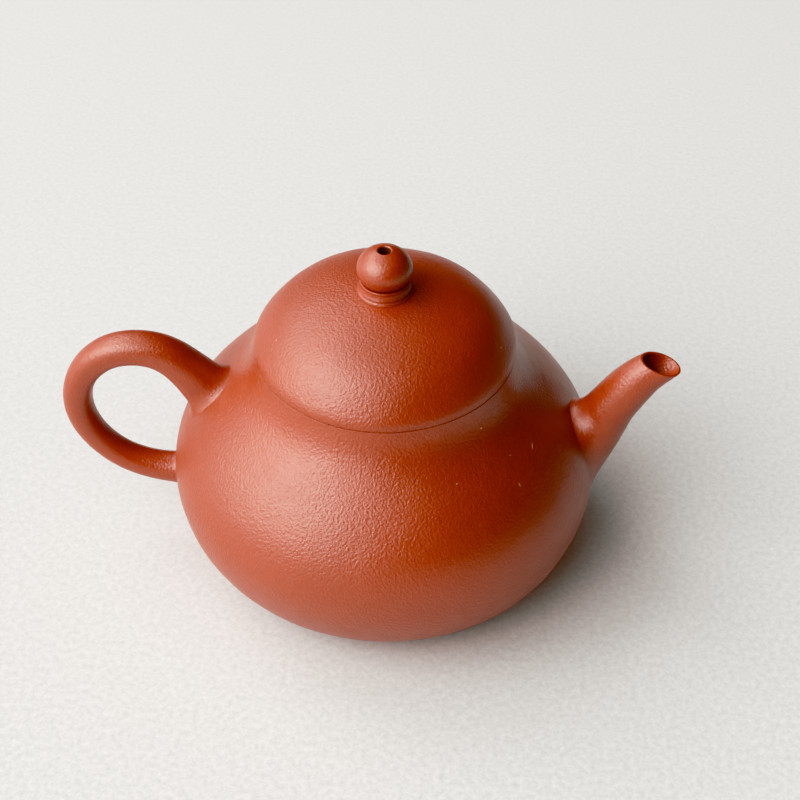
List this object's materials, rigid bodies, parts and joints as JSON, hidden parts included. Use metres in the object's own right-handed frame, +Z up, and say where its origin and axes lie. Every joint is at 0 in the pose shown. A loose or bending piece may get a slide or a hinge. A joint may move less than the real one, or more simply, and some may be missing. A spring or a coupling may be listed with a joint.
{
  "type": "clay teapot",
  "caption": "Small round unglazed clay teapot with a curved spout, an ear handle and a lift-off domed lid with a bead knob.",
  "frame": {"origin": "middle of the ring the pot rests on, on the body's upright axis, at table level", "axes": "+Z up along the body's axis, +X towards the spout, -X towards the handle, +Y to the left of someone looking along +X"},
  "size_m": [0.1174, 0.082, 0.071],
  "materials": {
    "red_clay": "unglazed red clay, satin, with a fine pear-skin relief",
    "red_clay_lid": "the same clay and finish, fired with the pot"
  },
  "bodies": {
    "pot": {"base_disc": "red_clay", "body_wall": "red_clay", "shoulder_disc": "red_clay", "neck_ring": "red_clay", "spout": "red_clay", "handle": "red_clay"},
    "lid": {"lid_dome": "red_clay_lid", "lid_flange": "red_clay_lid", "knob_collar": "red_clay_lid", "knob": "red_clay_lid"}
  },
  "joints": [
    {"name": "lid_lift", "type": "slide", "parent": "pot", "child": "lid", "axis": [0, 0, 1], "range_m": [0, 0.04]}
  ]
}
